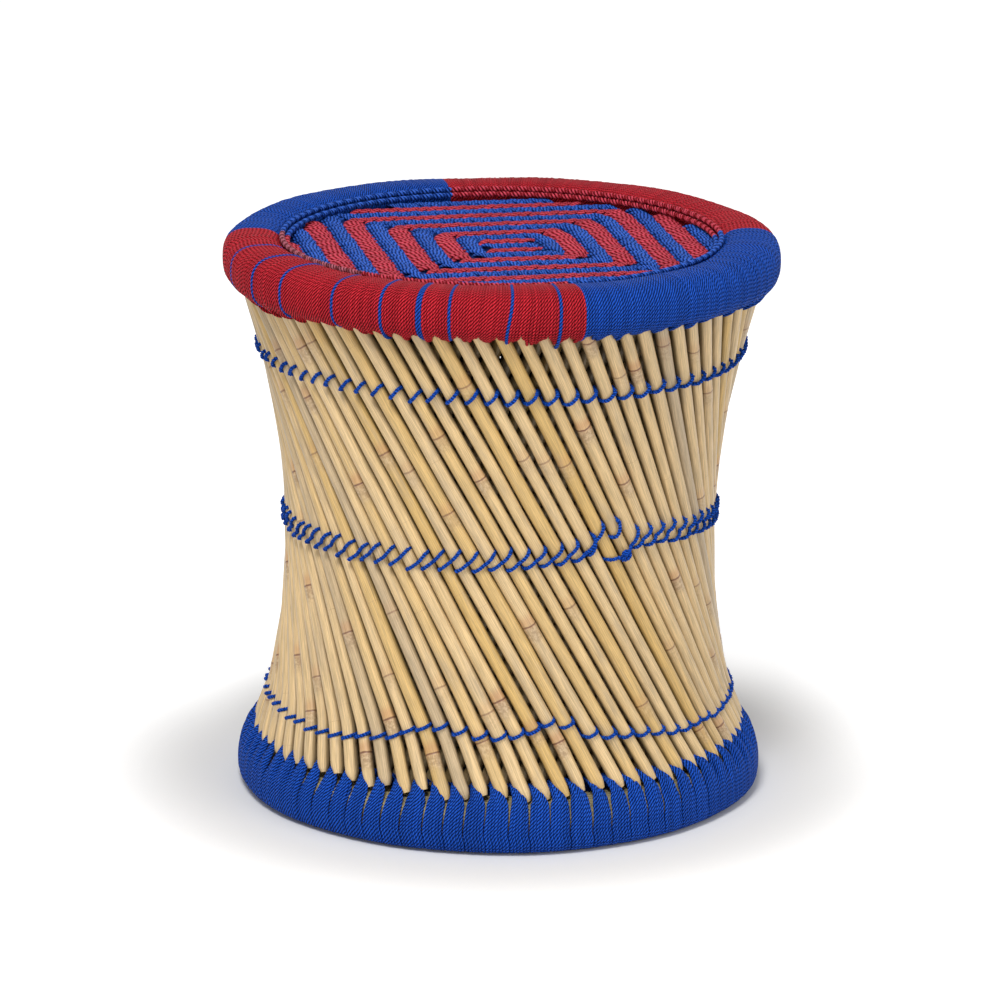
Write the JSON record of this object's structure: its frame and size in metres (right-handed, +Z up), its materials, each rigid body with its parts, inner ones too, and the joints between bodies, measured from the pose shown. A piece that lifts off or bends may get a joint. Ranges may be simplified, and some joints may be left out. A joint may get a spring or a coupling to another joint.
{
  "type": "mudda stool",
  "caption": "Waisted reed-cane drum stool with crossed cane layers between cord-wound rings, cord lashings and a woven cord seat.",
  "frame": {"origin": "centre of the floor face, at the bottom of the bounding box", "axes": "+Z up through the middle of the seat, -Y towards the front, +X to the right as seen from the front"},
  "size_m": [0.392, 0.392, 0.4],
  "materials": {
    "outer_cane": "satin",
    "inner_cane": "matte",
    "grass": "matte",
    "blue_cord": "matte",
    "red_cord": "matte"
  },
  "bodies": {
    "root": {"outer_canes_01": "outer_cane", "outer_canes_02": "outer_cane", "outer_canes_03": "outer_cane", "outer_canes_04": "outer_cane", "outer_canes_05": "outer_cane", "outer_canes_06": "outer_cane", "outer_canes_07": "outer_cane", "outer_canes_08": "outer_cane", "outer_canes_09": "outer_cane", "outer_canes_10": "outer_cane", "outer_canes_11": "outer_cane", "outer_canes_12": "outer_cane", "outer_canes_13": "outer_cane", "inner_canes_01": "inner_cane", "inner_canes_02": "inner_cane", "inner_canes_03": "inner_cane", "inner_canes_04": "inner_cane", "inner_canes_05": "inner_cane", "inner_canes_06": "inner_cane", "inner_canes_07": "inner_cane", "inner_canes_08": "inner_cane", "inner_canes_09": "inner_cane", "inner_canes_10": "inner_cane", "inner_canes_11": "inner_cane", "inner_canes_12": "inner_cane", "inner_canes_13": "inner_cane", "top_ring_core": "grass", "bottom_ring_core": "grass", "top_wrap_red_front": "red_cord", "top_wrap_blue_front": "blue_cord", "top_wrap_red_back": "red_cord", "top_wrap_blue_back": "blue_cord", "accent_cord_1": "blue_cord", "accent_cord_2": "blue_cord", "accent_cord_3": "blue_cord", "accent_cord_4": "blue_cord", "accent_cord_5": "blue_cord", "accent_cord_6": "blue_cord", "accent_cord_7": "blue_cord", "accent_cord_8": "blue_cord", "accent_cord_9": "blue_cord", "bottom_wrap": "blue_cord", "lashing_upper": "blue_cord", "lashing_waist": "blue_cord", "lashing_lower": "blue_cord", "waist_knot": "blue_cord", "seat_red_cords": "red_cord", "seat_blue_cords": "blue_cord", "seat_edge_cord": "blue_cord"}
  },
  "joints": []
}
